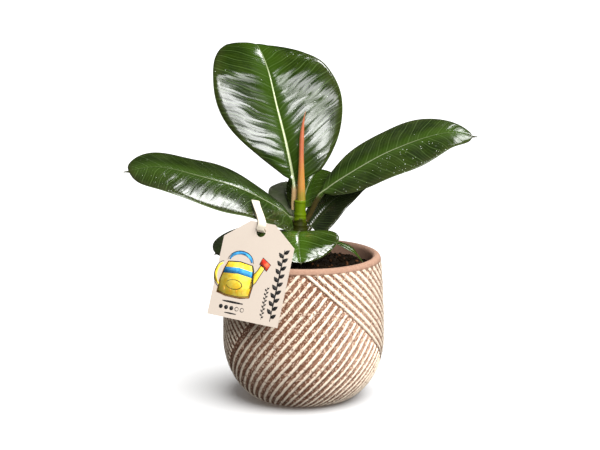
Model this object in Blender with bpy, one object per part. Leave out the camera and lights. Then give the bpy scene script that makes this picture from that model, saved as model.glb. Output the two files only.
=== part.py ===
"""A small rubber-fig plant in a round ceramic pot, with a paper care tag on its strap.

Blender 4.5, metres, +Z up. The origin is the centre of the pot's flat underside.
+X is to the right and -Y is towards the front. Sizes below are in millimetres.
"""

import math
from dataclasses import dataclass

import bmesh
import bpy
from mathutils import Matrix, Vector

MM = 0.001
GAP = 0.3                    # clearance between pieces that touch

# Pot
POT_HEIGHT = 81.0
POT_RADIUS = 45.0            # outside, at the belly
POT_BELLY_HEIGHT = 33.0
POT_RIM_RADIUS = 42.7        # outside, at the rim
POT_FOOT_RADIUS = 23.5       # flat underside
POT_WALL = 4.6
POT_FLOOR = 6.0
POT_HEEL_POWER = 1.82        # 2 is an elliptical heel, lower is straighter
POT_SEGMENTS = 44

# Soil
SOIL_DEPTH_BELOW_RIM = 8.5   # at the wall
SOIL_MOUND = 4.5             # higher in the middle

# Stem and the red sheath of the next leaf
STEM_X = -2.0
STEM_ABOVE_RIM = 29.8
STEM_ROOT_DEPTH = 22.0       # below the soil's level at the wall
STEM_RADIUS = 3.0            # at the top
STEM_FOOT_RADIUS = 4.3
STEM_SIDES = 12
SHEATH_LENGTH = 49.0
SHEATH_RADIUS = 2.2
SHEATH_LEAN = 3.6            # sideways, at the tip

# Leaves
PETIOLE_RADIUS = 1.6
BLADE_THICKNESS = 0.9
BLADE_EDGE = 0.5
MIDRIB_DEPTH = 1.1           # how far the midrib stands out below the blade
DRIP_TIP_SHARE = 0.045       # the narrow tip's share of the blade's length
DRIP_TIP_WIDTH = 1.6
BASE_ROUNDNESS = 0.6         # power of the blade's outline near its base: lower is blunter
PETIOLE_STATIONS = 4
BLADE_STATIONS = 12
ACROSS = 6                   # strips across the upper side, an even number

# Care tag
TAG_WIDTH = 41.0
TAG_SIDE = 42.5              # straight sides, below the cut corners
TAG_TOP_WIDTH = 14.0
TAG_SHOULDER = 10.5          # height of the cut corners
TAG_THICKNESS = 0.6
TAG_HOLE_RADIUS = 2.8
TAG_HOLE_BELOW_TOP = 5.0
TAG_HOLE_OFF_POT = -0.8      # how far out the hole hangs, from the pot's widest radius
TAG_HOLE_DIRECTION = 239.4   # degrees round the pot from +X towards +Y
TAG_HOLE_ABOVE_RIM = 19.7
TAG_ROLL = 5.5               # degrees, clockwise seen from the front
TAG_LEAN = 19.0              # top away from the front
TAG_YAW = 22.0               # turned towards -X

# Strap: a closed flat band that passes through the hole
STRAP_ASIDE = -0.2           # it lies to one side of the hole's middle
STRAP_THICKNESS = 0.4
STRAP_TOP = (-25.8, -21.5, 33.4)   # height above the rim
STRAP_SPREAD = 0.8           # half the distance between its strands at the top
STRAP_STEPS = 30


@dataclass
class Leaf:
    """One leaf, whose stalk and midrib run from its foot on the stem through the path to the tip.

    All its heights are above the pot's rim. A path point of three numbers is x, y and height.
    A point of the form (direction, inside, height, "rim") is placed from the rim's inner edge.
    """

    name: str
    foot: tuple              # height on the stem, and degrees round it from +X towards +Y
    path: list
    petiole: float           # length of the bare stalk
    width: float             # across the blade at its widest
    faces: tuple             # where the upper side looks, near the base and near the tip
    widest: float = 0.5      # place of the widest point along the blade
    tip: float = 0.45        # power of the outline near the tip: lower is blunter
    fold: float = 0.0        # degrees that each half rises from the midrib
    curl: float = 0.0        # further degrees at the margins, downwards when negative
    skew: float = 0.0        # share by which the right half is wider than the left


LEAVES = [
    Leaf("leaf_top", foot=(26.5, 135),
         path=[(-5.5, 4.2, 39), (-9.3, 7, 59), (-15, 14, 81), (-20, 23, 100), (-26, 38, 111.5), (-30, 54, 110)],
         petiole=10, width=70, faces=((0, -1, 0.3), (0.33, -0.6, 1)),
         widest=0.53, tip=0.62, fold=8, curl=-14, skew=0.1),
    Leaf("leaf_left", foot=(19.5, 190),
         path=[(-14, -4, 26.5), (-34, -10, 38), (-56, -16, 46), (-78, -22, 52), (-96, -27, 50)],
         petiole=2, width=55, faces=((0, -0.33, 1), (0, -0.33, 1)),
         widest=0.55, tip=0.38, fold=-2, curl=-8),
    Leaf("leaf_right", foot=(20.5, 0),
         path=[(10, 0, 33.5), (24, 0, 44), (48, 0, 57.5), (76, 0, 67), (95, 0, 65)],
         petiole=13, width=47, faces=((0, -0.4, 1), (0, -0.4, 1)),
         widest=0.54, tip=0.52, fold=2, curl=-8),
    Leaf("leaf_lower_right", foot=(13, 20),
         path=[(8, 4, 20), (17, 8, 29), (28, 12, 35), (38, 15, 37.5)],
         petiole=4, width=19, faces=((0, -0.9, 1), (0, -0.3, 1)),
         widest=0.36, fold=6, curl=-6, skew=0.1),
    Leaf("leaf_back_left", foot=(16, 125),
         path=[(-7.5, 11, 23), (-9, 22, 30), (-10, 38, 34)],
         petiole=5, width=22, faces=((0, -0.4, 1), (0, -0.2, 1)),
         fold=6, curl=-6),
    Leaf("leaf_back_right", foot=(19, 75),
         path=[(1, 13, 31), (5, 25, 38.5), (9, 40, 41)],
         petiole=9, width=24, faces=((-0.1, -0.5, 1), (0, -0.3, 1)),
         fold=6, curl=-6),
    Leaf("leaf_front", foot=(11, 270),
         path=[(-2.5, -10, 14), (-3, -19, 14.5), (-2.5, -29, 9.5), (267.6, 2.1, 1.5, "rim")],
         petiole=3, width=44, faces=((0, -0.3, 1), (0, -0.3, 1)),
         widest=0.54, fold=8, curl=-8),
    Leaf("leaf_small_right", foot=(3, 330),
         path=[(10, -8, 7.5), (18, -11, 8.5), (330.9, 8, 5, "rim"), (333.1, 1.6, -1.5, "rim")],
         petiole=5, width=8, faces=((0, 0.05, 1), (0, 0.05, 1)),
         fold=2, curl=-4),
    Leaf("leaf_low_left", foot=(6, 190),
         path=[(-16, -3, 10.5), (-30, -5, 10), (-42, -8, 6), (-49, -11, 1.5)],
         petiole=6, width=26, faces=((0, -0.35, 1), (0, -0.35, 1)),
         widest=0.6, fold=3, curl=-8),
]


def clear_scene():
    for obj in list(bpy.data.objects):
        bpy.data.objects.remove(obj, do_unlink=True)


def material(name, colour, roughness, metallic=0.0):
    mat = bpy.data.materials.new(name)
    mat.use_nodes = True
    shader = mat.node_tree.nodes["Principled BSDF"]
    shader.inputs["Base Color"].default_value = (*colour, 1.0)
    shader.inputs["Roughness"].default_value = roughness
    shader.inputs["Metallic"].default_value = metallic
    return mat


def add_object(name, bm, mat):
    """Turns a bmesh in millimetres into a closed, outward-facing object in metres."""
    bmesh.ops.recalc_face_normals(bm, faces=bm.faces)
    bmesh.ops.scale(bm, vec=(MM, MM, MM), verts=bm.verts)
    mesh = bpy.data.meshes.new(name)
    bm.to_mesh(mesh)
    bm.free()
    mesh.shade_smooth()
    mesh.set_sharp_from_angle(angle=math.radians(40))
    mesh.materials.append(mat)
    obj = bpy.data.objects.new(name, mesh)
    bpy.context.scene.collection.objects.link(obj)
    return obj


def loft(bm, rings, closed=False):
    """Joins rings of equally many points into a body with flat ends, or into a closed loop."""
    rows = [[bm.verts.new(point) for point in ring] for ring in rings]
    count = len(rows[0])
    for near, far in zip(rows, rows[1:] + rows[:1] if closed else rows[1:]):
        for i in range(count):
            j = (i + 1) % count
            bm.faces.new((near[i], near[j], far[j], far[i]))
    if not closed:
        bm.faces.new(rows[0])
        bm.faces.new(rows[-1])


def turned(bm, profile, segments):
    """Turns (radius, height) points about Z. The first and last points lie on the axis."""
    bottom = bm.verts.new((0, 0, profile[0][1]))
    top = bm.verts.new((0, 0, profile[-1][1]))
    rows = []
    for radius, height in profile[1:-1]:
        angles = [2 * math.pi * k / segments for k in range(segments)]
        rows.append([bm.verts.new((radius * math.cos(a), radius * math.sin(a), height)) for a in angles])
    for k in range(segments):
        m = (k + 1) % segments
        bm.faces.new((bottom, rows[0][k], rows[0][m]))
        bm.faces.new((top, rows[-1][k], rows[-1][m]))
        for near, far in zip(rows, rows[1:]):
            bm.faces.new((near[k], near[m], far[m], far[k]))


def curve_point(points, share):
    """A point on the smooth curve through the points, at a share of the way by point count."""
    place = share * (len(points) - 1)
    i = min(int(place), len(points) - 2)
    f = place - i
    p1 = Vector(points[i])
    p2 = Vector(points[i + 1])
    p0 = Vector(points[i - 1]) if i > 0 else 2 * p1 - p2
    p3 = Vector(points[i + 2]) if i + 2 < len(points) else 2 * p2 - p1
    return 0.5 * (2 * p1 + (p2 - p0) * f + (2 * p0 - 5 * p1 + 4 * p2 - p3) * f ** 2
                  + (3 * p1 - p0 - 3 * p2 + p3) * f ** 3)


def even_curve(points, steps=200):
    """The smooth curve as closely spaced points, with the distance run at each."""
    line = [curve_point(points, k / steps) for k in range(steps + 1)]
    run = [0.0]
    for a, b in zip(line, line[1:]):
        run.append(run[-1] + (b - a).length)
    return line, run


def at_distance(line, run, distance):
    """Position and direction on the curve at a distance from its start."""
    distance = min(max(distance, 0.0), run[-1])
    k = next((i for i in range(1, len(run)) if run[i] >= distance), len(run) - 1)
    f = (distance - run[k - 1]) / (run[k] - run[k - 1])
    here = line[k - 1].lerp(line[k], f)
    before = line[max(k - 4, 0)]
    after = line[min(k + 3, len(line) - 1)]
    return here, (after - before).normalized()


def tube_ring(centre, direction, radius, sides):
    across = direction.cross(Vector((0, 1, 0))).normalized()
    other = direction.cross(across)
    angles = [2 * math.pi * k / sides for k in range(sides)]
    return [centre + radius * (math.cos(a) * across + math.sin(a) * other) for a in angles]


# Pot and soil

def pot_outer_radius(height):
    """Outside radius: a rounded heel up to the belly, then slightly closing to the rim."""
    if height >= POT_BELLY_HEIGHT:
        up = (height - POT_BELLY_HEIGHT) / (POT_HEIGHT - POT_BELLY_HEIGHT)
        return POT_RADIUS - (POT_RADIUS - POT_RIM_RADIUS) * up ** 2
    down = (POT_BELLY_HEIGHT - height) / POT_BELLY_HEIGHT
    reach = (1 - down ** POT_HEEL_POWER) ** (1 / POT_HEEL_POWER)
    return POT_FOOT_RADIUS + (POT_RADIUS - POT_FOOT_RADIUS) * reach


def pot_inner_radius(height):
    """Inside radius: the outside less the wall, and a rounded corner at the floor."""
    above_floor = (height - POT_FLOOR) / (POT_BELLY_HEIGHT - POT_FLOOR)
    full = pot_outer_radius(max(height, POT_BELLY_HEIGHT)) - POT_WALL
    foot = POT_FOOT_RADIUS - POT_WALL / 2
    if above_floor >= 1:
        return full
    reach = (1 - (1 - max(above_floor, 0.0)) ** 2) ** 0.5
    return foot + (full - foot) * reach


def soil_edge():
    """Height of the soil at the wall."""
    return POT_HEIGHT - SOIL_DEPTH_BELOW_RIM


def filled_heights():
    """Heights of the inside profile from the soil's edge down to the floor. Pot and soil share them."""
    corner = POT_BELLY_HEIGHT - POT_FLOOR
    rounded = [POT_FLOOR + corner * (1 - math.sin(math.radians(a))) for a in (0, 30, 60, 90)]
    return [soil_edge(), (soil_edge() + POT_BELLY_HEIGHT) / 2] + rounded


def make_pot(mat):
    heel = [POT_BELLY_HEIGHT * (1 - math.cos(math.radians(a))) for a in range(0, 90, 12)]
    wall = [POT_BELLY_HEIGHT + (POT_HEIGHT - POT_BELLY_HEIGHT) * k / 5 for k in range(5)]
    rim_edge = POT_WALL / 2
    outside = [(pot_outer_radius(h), h) for h in heel + wall]
    rim_centre = pot_outer_radius(POT_HEIGHT) - rim_edge
    rim = [(rim_centre + rim_edge * math.cos(math.radians(a)),
            POT_HEIGHT - rim_edge + rim_edge * math.sin(math.radians(a))) for a in range(0, 181, 30)]
    inside = [(pot_inner_radius(h), h) for h in filled_heights()]
    profile = [(0, 0)] + outside + rim + inside + [(0, POT_FLOOR)]
    bm = bmesh.new()
    turned(bm, profile, POT_SEGMENTS)
    return add_object("pot", bm, mat)


def soil_level(radius):
    """Height of the soil at a distance from the pot's axis."""
    share = radius / pot_inner_radius(soil_edge())
    return soil_edge() + SOIL_MOUND * (1 - share ** 2)


def make_soil(mat):
    sides = []
    for height in reversed(filled_heights()):
        lift = GAP if height < POT_BELLY_HEIGHT else 0
        sides.append((pot_inner_radius(height) - 2 * GAP, height + lift))
    bottom = POT_FLOOR + GAP
    reach = sides[-1][0]
    top = [(reach * s, soil_level(reach * s)) for s in (0.8, 0.6, 0.4, 0.2)]
    profile = [(0, bottom)] + sides + top + [(0, soil_level(0))]
    bm = bmesh.new()
    turned(bm, profile, POT_SEGMENTS)
    soil = add_object("soil", bm, mat)
    bore = stem_solid("soil_bore", GAP, mat)
    bore.hide_render = True
    bore.display_type = "WIRE"
    cut = soil.modifiers.new("stem_hole", "BOOLEAN")
    cut.operation = "DIFFERENCE"
    cut.solver = "EXACT"
    cut.object = bore
    return soil


# Stem and sheath

def stem_top():
    return POT_HEIGHT + STEM_ABOVE_RIM


def stem_foot():
    return soil_edge() - STEM_ROOT_DEPTH


def stem_radius(height):
    """Stem radius: it thickens steadily from its top down to its foot."""
    share = (stem_top() - height) / (stem_top() - stem_foot())
    return STEM_RADIUS + (STEM_FOOT_RADIUS - STEM_RADIUS) * share


def stem_solid(name, grow, mat):
    bm = bmesh.new()
    bottom = stem_foot() - grow
    steps = 6
    rings = []
    for k in range(steps + 1):
        height = bottom + (stem_top() - bottom) * k / steps
        rings.append(tube_ring(Vector((STEM_X, 0, height)), Vector((0, 0, 1)),
                               stem_radius(height) + grow, STEM_SIDES))
    loft(bm, rings)
    return add_object(name, bm, mat)


def make_sheath(mat):
    bottom = stem_top() + GAP
    steps = 8
    rings = []
    for k in range(steps + 1):
        share = k / steps
        centre = Vector((STEM_X + SHEATH_LEAN * share ** 2.2, 0, bottom + SHEATH_LENGTH * share))
        radius = SHEATH_RADIUS * (0.9 + 0.35 * share - 1.15 * share ** 2) if share < 1 else 0.25
        rings.append(tube_ring(centre, Vector((0, 0, 1)), max(radius, 0.25), 10))
    bm = bmesh.new()
    loft(bm, rings)
    return add_object("bud_sheath", bm, mat)


# Leaves

def blade_share(v, widest, tip):
    """Half width of a blade as a share of its greatest, v from 0 at the base to 1 at the tip."""
    body = min(v / (1 - DRIP_TIP_SHARE), 1.0)
    power = math.log(0.5) / math.log(widest)
    roundness = BASE_ROUNDNESS + (tip - BASE_ROUNDNESS) * v
    return math.sin(math.pi * body ** power) ** roundness if 0 < body < 1 else 0.0


def leaf_section(leaf, v, blade):
    """Left and right half widths at v along the blade, blade from 0 on the stalk to 1 beyond."""
    share = blade_share(v, leaf.widest, leaf.tip) * leaf.width / 2
    point = DRIP_TIP_WIDTH / 2 * max(0.15, min(1.0, (1 - v) / DRIP_TIP_SHARE))
    least = PETIOLE_RADIUS + (point - PETIOLE_RADIUS) * min(1.0, max(v, 0.0) * 3)
    left = max(share * (1 - leaf.skew) * blade, least)
    right = max(share * (1 + leaf.skew) * blade, least)
    return left, right


def leaf_ring(leaf, centre, direction, v):
    """The closed outline of the leaf, cut square to its midrib."""
    face_share = min(max(v, 0.0), 1.0)
    face = Vector(leaf.faces[0]).lerp(Vector(leaf.faces[1]), face_share)
    up = (face - face.dot(direction) * direction).normalized()
    side = direction.cross(up)
    blade = min(max(v / 0.06, 0.0), 1.0)
    left, right = leaf_section(leaf, v, blade)
    stalk = PETIOLE_RADIUS * (1 - blade)
    rib = MIDRIB_DEPTH * blade * max(1 - v, 0.1)
    upper = []
    lower = []
    for k in range(ACROSS + 1):
        t = 2 * k / ACROSS - 1
        reach = (right if t > 0 else left) * abs(t)
        angle = math.radians(leaf.fold + leaf.curl * abs(t) / 2) * blade
        out = math.copysign(reach * math.cos(angle), t)
        lift = reach * math.sin(angle)
        round_part = stalk * math.sqrt(1 - (0.92 * t) ** 2)
        thick = BLADE_EDGE + (BLADE_THICKNESS - BLADE_EDGE) * (1 - abs(t))
        base = centre + out * side + lift * up
        upper.append(base + (round_part + blade * thick / 2) * up)
        middle = 1.0 if k == ACROSS // 2 else 0.0
        lower.append(base - (round_part + blade * thick / 2 + rib * middle) * up)
    return upper + lower[::-1]


def path_point(place):
    """A point of a leaf's path in the object's frame."""
    if place[-1] != "rim":
        x, y, height = place
        return Vector((x, y, POT_HEIGHT + height))
    direction, inside, height = place[:3]
    reach = POT_RIM_RADIUS - POT_WALL - inside
    turn = math.radians(direction)
    return Vector((reach * math.cos(turn), reach * math.sin(turn), POT_HEIGHT + height))


def leaf_foot(leaf, first):
    """Where the stalk's middle starts, so that the edge of its square end just clears the stem."""
    height, degrees = leaf.foot
    turn = math.radians(degrees)
    outward = Vector((math.cos(turn), math.sin(turn), 0))
    axis = Vector((STEM_X, 0, POT_HEIGHT + height))
    surface = axis + stem_radius(axis.z) * outward
    steepness = (first - surface).normalized().cross(outward).length
    return surface + (GAP + PETIOLE_RADIUS * steepness) * outward


def make_leaf(leaf, mat):
    path = [path_point(place) for place in leaf.path]
    line, run = even_curve([leaf_foot(leaf, path[0])] + path)
    length = run[-1]
    blade_length = length - leaf.petiole
    distances = [leaf.petiole * k / PETIOLE_STATIONS for k in range(PETIOLE_STATIONS)]
    distances += [leaf.petiole + blade_length * (0.5 - 0.5 * math.cos(math.pi * k / BLADE_STATIONS))
                  for k in range(BLADE_STATIONS + 1)]
    rings = []
    for distance in distances:
        centre, direction = at_distance(line, run, distance)
        v = (distance - leaf.petiole) / blade_length
        rings.append(leaf_ring(leaf, centre, direction, v))
    bm = bmesh.new()
    loft(bm, rings)
    return add_object(leaf.name, bm, mat)


# Care tag and strap

def tag_frame():
    """Turns card coordinates, x to the right and z up on the card, into the object's frame."""
    reach = max(POT_RADIUS, POT_RIM_RADIUS) + TAG_HOLE_OFF_POT
    turn = math.radians(TAG_HOLE_DIRECTION)
    hole = Vector((reach * math.cos(turn), reach * math.sin(turn), POT_HEIGHT + TAG_HOLE_ABOVE_RIM))
    roll = Matrix.Rotation(math.radians(TAG_ROLL), 4, "Y")
    lean = Matrix.Rotation(math.radians(-TAG_LEAN), 4, "X")
    yaw = Matrix.Rotation(math.radians(-TAG_YAW), 4, "Z")
    return Matrix.Translation(hole) @ yaw @ lean @ roll


def make_tag(mat):
    top = TAG_HOLE_BELOW_TOP
    shoulder = top - TAG_SHOULDER
    bottom = shoulder - TAG_SIDE
    half = TAG_WIDTH / 2
    top_half = TAG_TOP_WIDTH / 2
    outline = [(-half, bottom), (half, bottom), (half, shoulder), (top_half, top),
               (-top_half, top), (-half, shoulder)]
    hole = [(TAG_HOLE_RADIUS * math.cos(math.radians(a)), TAG_HOLE_RADIUS * math.sin(math.radians(a)))
            for a in range(0, 360, 20)]
    bm = bmesh.new()
    edges = []
    for points in (outline, hole):
        verts = [bm.verts.new((x, -TAG_THICKNESS / 2, z)) for x, z in points]
        edges += [bm.edges.new((a, b)) for a, b in zip(verts, verts[1:] + verts[:1])]
    face = bmesh.ops.triangle_fill(bm, use_beauty=True, edges=edges)["geom"]
    faces = [item for item in face if isinstance(item, bmesh.types.BMFace)]
    raised = bmesh.ops.extrude_face_region(bm, geom=faces, use_keep_orig=True)["geom"]
    verts = [item for item in raised if isinstance(item, bmesh.types.BMVert)]
    bmesh.ops.translate(bm, vec=(0, TAG_THICKNESS, 0), verts=verts)
    bmesh.ops.transform(bm, matrix=tag_frame(), verts=bm.verts)
    return add_object("tag_card", bm, mat)


def strap_route():
    """The band's middle line in card coordinates: up the front, over the top, down behind, through the hole."""
    top = tag_frame().inverted() @ path_point(STRAP_TOP)
    away = Vector((1, 0, 0)).cross(top).normalized() * STRAP_SPREAD
    clear = TAG_THICKNESS / 2 + STRAP_THICKNESS / 2 + GAP
    hole = Vector((STRAP_ASIDE, 0, 0))
    front = Vector((STRAP_ASIDE, -2 * clear, TAG_HOLE_RADIUS / 2))
    over = Vector((STRAP_ASIDE, -2 * clear, TAG_HOLE_BELOW_TOP + 2 * GAP))
    back = Vector((STRAP_ASIDE, 2.5 * clear, TAG_HOLE_RADIUS / 2))
    return [hole, front, over, 0.9 * top + away, top, 0.9 * top - away, back, hole]


def make_strap(mat):
    line, run = even_curve(strap_route())
    half = Vector((TAG_HOLE_RADIUS - GAP - abs(STRAP_ASIDE), 0, 0))
    rings = []
    for k in range(STRAP_STEPS):
        centre, direction = at_distance(line, run, run[-1] * k / STRAP_STEPS)
        out = direction.cross(half).normalized() * STRAP_THICKNESS / 2
        rings.append([centre - half - out, centre + half - out, centre + half + out, centre - half + out])
    bm = bmesh.new()
    loft(bm, rings, closed=True)
    bmesh.ops.transform(bm, matrix=tag_frame(), verts=bm.verts)
    return add_object("tag_strap", bm, mat)


def main():
    clear_scene()
    make_pot(material("pot_clay", (0.62, 0.45, 0.36), 0.85))
    make_soil(material("soil_dark", (0.03, 0.022, 0.017), 0.95))
    stem_solid("stem", 0.0, material("stem_green", (0.22, 0.30, 0.06), 0.5))
    make_sheath(material("sheath_red", (0.62, 0.16, 0.08), 0.4))
    for leaf in LEAVES:
        make_leaf(leaf, material(leaf.name + "_green", (0.02, 0.085, 0.025), 0.25))
    make_tag(material("tag_paper", (0.86, 0.82, 0.72), 0.8))
    make_strap(material("strap_paper", (0.86, 0.82, 0.70), 0.8))


main()
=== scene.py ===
# %% [markdown]
# # A small rubber fig in a ridged clay pot
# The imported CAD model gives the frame: where the pot, stem, leaves and care tag are, and how big they are.
# This script keeps those places and remakes the surfaces, piece by piece. Lengths are in millimetres, and
# turn into metres when a mesh is made.

# %% Load the frame
import math
import bmesh
import bpy
import numpy as np
from mathutils import Matrix, Vector, noise


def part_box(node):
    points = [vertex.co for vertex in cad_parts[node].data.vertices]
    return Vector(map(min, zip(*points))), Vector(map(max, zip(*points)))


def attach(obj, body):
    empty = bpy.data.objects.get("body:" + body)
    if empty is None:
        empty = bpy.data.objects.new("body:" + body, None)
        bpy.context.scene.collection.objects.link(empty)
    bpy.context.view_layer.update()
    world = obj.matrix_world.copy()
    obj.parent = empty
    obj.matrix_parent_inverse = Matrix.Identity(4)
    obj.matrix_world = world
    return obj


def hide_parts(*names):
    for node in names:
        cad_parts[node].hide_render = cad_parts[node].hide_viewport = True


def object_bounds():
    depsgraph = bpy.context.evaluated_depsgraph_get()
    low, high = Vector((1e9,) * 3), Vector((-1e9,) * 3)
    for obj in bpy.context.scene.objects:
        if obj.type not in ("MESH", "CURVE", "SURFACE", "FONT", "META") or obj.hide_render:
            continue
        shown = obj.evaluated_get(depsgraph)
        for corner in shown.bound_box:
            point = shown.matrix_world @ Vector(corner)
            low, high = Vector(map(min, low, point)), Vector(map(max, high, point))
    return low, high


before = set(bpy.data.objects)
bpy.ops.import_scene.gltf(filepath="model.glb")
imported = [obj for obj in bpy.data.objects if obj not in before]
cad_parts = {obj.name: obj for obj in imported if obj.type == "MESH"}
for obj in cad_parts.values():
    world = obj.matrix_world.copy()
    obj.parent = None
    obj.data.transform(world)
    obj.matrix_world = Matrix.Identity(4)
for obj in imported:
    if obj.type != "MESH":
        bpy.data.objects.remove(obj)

MM = 0.001
scene = bpy.context.scene
cad_box = [list(corner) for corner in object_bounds()]
print("CAD box, mm:", [[round(x / MM, 1) for x in corner] for corner in cad_box])

# %% [markdown]
# ## Camera and light
# A long lens from nearly a metre away keeps the plant free of distortion. It looks slightly down, so the
# pot's mouth opens into an ellipse, and aims at the stem's line at half the plant's height.

# %% Camera
LENS = 100.0
VIEW_DISTANCE = 0.92
VIEW_ELEVATION = math.radians(11.2)


def middle(node):
    low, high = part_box(node)
    return (low + high) / 2


aim = Vector((middle("stem").x, 0, 0.498 * cad_box[1][2]))
camera_data = bpy.data.cameras.new("camera")
camera_data.lens = LENS
camera = bpy.data.objects.new("camera", camera_data)
scene.collection.objects.link(camera)
camera.location = aim + VIEW_DISTANCE * Vector((0, -math.cos(VIEW_ELEVATION), math.sin(VIEW_ELEVATION)))
camera.rotation_euler = (math.pi / 2 - VIEW_ELEVATION, 0, 0)
bpy.context.scene.camera = camera
print("camera at", [round(x, 3) for x in camera.location])

# %% [markdown]
# Glossy leaves show the lamps, so each soft box is placed for its reflection as much as for its light. A
# broad sun from the right gives the pot its bright and its dark side. The floor has a sun of its own, which
# only the pot blocks, and the other lamps leave it out. The sky is white, but gives less light than that.

# %% Floor, sky and lamps
SKY = (1.0, 1.0, 1.0)
SKY_AS_LIGHT = 0.26          # its strength for everything but the camera
MIDDLE_OF_PLANT = Vector((0, 0, 0.12))


def towards(turn, elevation, distance=1.0):
    """A place seen from the plant: degrees to the right of the front, degrees up, and metres away."""
    turn, elevation = math.radians(turn), math.radians(elevation)
    flat = math.cos(elevation)
    return distance * Vector((math.sin(turn) * flat, -math.cos(turn) * flat, math.sin(elevation)))


def add_lamp(name, kind, energy, place, target):
    lamp = bpy.data.objects.new(name, bpy.data.lights.new(name, kind))
    lamp.data.energy = energy
    lamp.location = place
    lamp.rotation_euler = (target - lamp.location).to_track_quat("-Z", "Y").to_euler()
    scene.collection.objects.link(lamp)
    return lamp


def soft_box(name, place, size, power):
    lamp = add_lamp(name, "AREA", power, MIDDLE_OF_PLANT + place, MIDDLE_OF_PLANT)
    lamp.data.shape = "RECTANGLE"
    lamp.data.size, lamp.data.size_y = size
    return lamp


def add_sun(name, place, strength, spread):
    lamp = add_lamp(name, "SUN", strength, place, Vector((0, 0, 0)))
    lamp.data.angle = math.radians(spread)
    return lamp


world = bpy.data.worlds.new("sky")
world.use_nodes = True
world.cycles_visibility.glossy = False
background = world.node_tree.nodes["Background"]
background.inputs["Color"].default_value = (*SKY, 1)
sky_strength = world.node_tree.nodes.new("ShaderNodeMapRange")
sky_strength.inputs["To Min"].default_value = SKY_AS_LIGHT
seen = world.node_tree.nodes.new("ShaderNodeLightPath").outputs["Is Camera Ray"]
world.node_tree.links.new(seen, sky_strength.inputs["Value"])
world.node_tree.links.new(sky_strength.outputs["Result"], background.inputs["Strength"])
scene.world = world
scene.view_settings.view_transform = "Standard"

sun_right = add_sun("sun_right", towards(54, 50), 3.9, 28)
floor_sun = add_sun("sun_floor", towards(50, 64), 4.6, 66)
key_lamps = [sun_right,
             soft_box("box_front", towards(16, 21, 0.9), (0.3, 0.26), 5.6),
             soft_box("box_top", towards(11, 36.5, 0.85), (0.17, 0.17), 2.1),
             soft_box("box_high", towards(22, 55, 0.8), (0.4, 0.17), 2.6),
             soft_box("box_back", towards(143, 47, 0.8), (0.24, 0.24), 3.3),
             soft_box("box_rear", towards(-158, 28, 1.1), (0.6, 0.5), 4.5)]
for lamp in (sun_right, key_lamps[-1]):    # these two give light without a reflection
    lamp.visible_glossy = False
print("lamps:", floor_sun.name, *(lamp.name for lamp in key_lamps))

# %% Floor
FLOOR_RADIUS = 25.0

bpy.ops.mesh.primitive_circle_add(vertices=96, radius=FLOOR_RADIUS, fill_type="NGON")
floor = bpy.context.active_object
floor.name = "floor"
floor.visible_diffuse = False
floor.visible_glossy = False
floor_only = bpy.data.collections.new("floor_only")
floor_only.objects.link(floor)
floor_sun.light_linking.receiver_collection = floor_only
all_but_floor = bpy.data.collections.new("all_but_floor")
all_but_floor.objects.link(floor)
all_but_floor.collection_objects[0].light_linking.link_state = "EXCLUDE"
for lamp in key_lamps:
    lamp.light_linking.receiver_collection = all_but_floor
print("floor:", 2 * FLOOR_RADIUS, "m across")

# %% [markdown]
# ## Tools for the finishes
# Every finish is one Principled shader fed by procedural nodes. This class keeps the wiring out of the way,
# so that each material below reads as a recipe.

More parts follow.
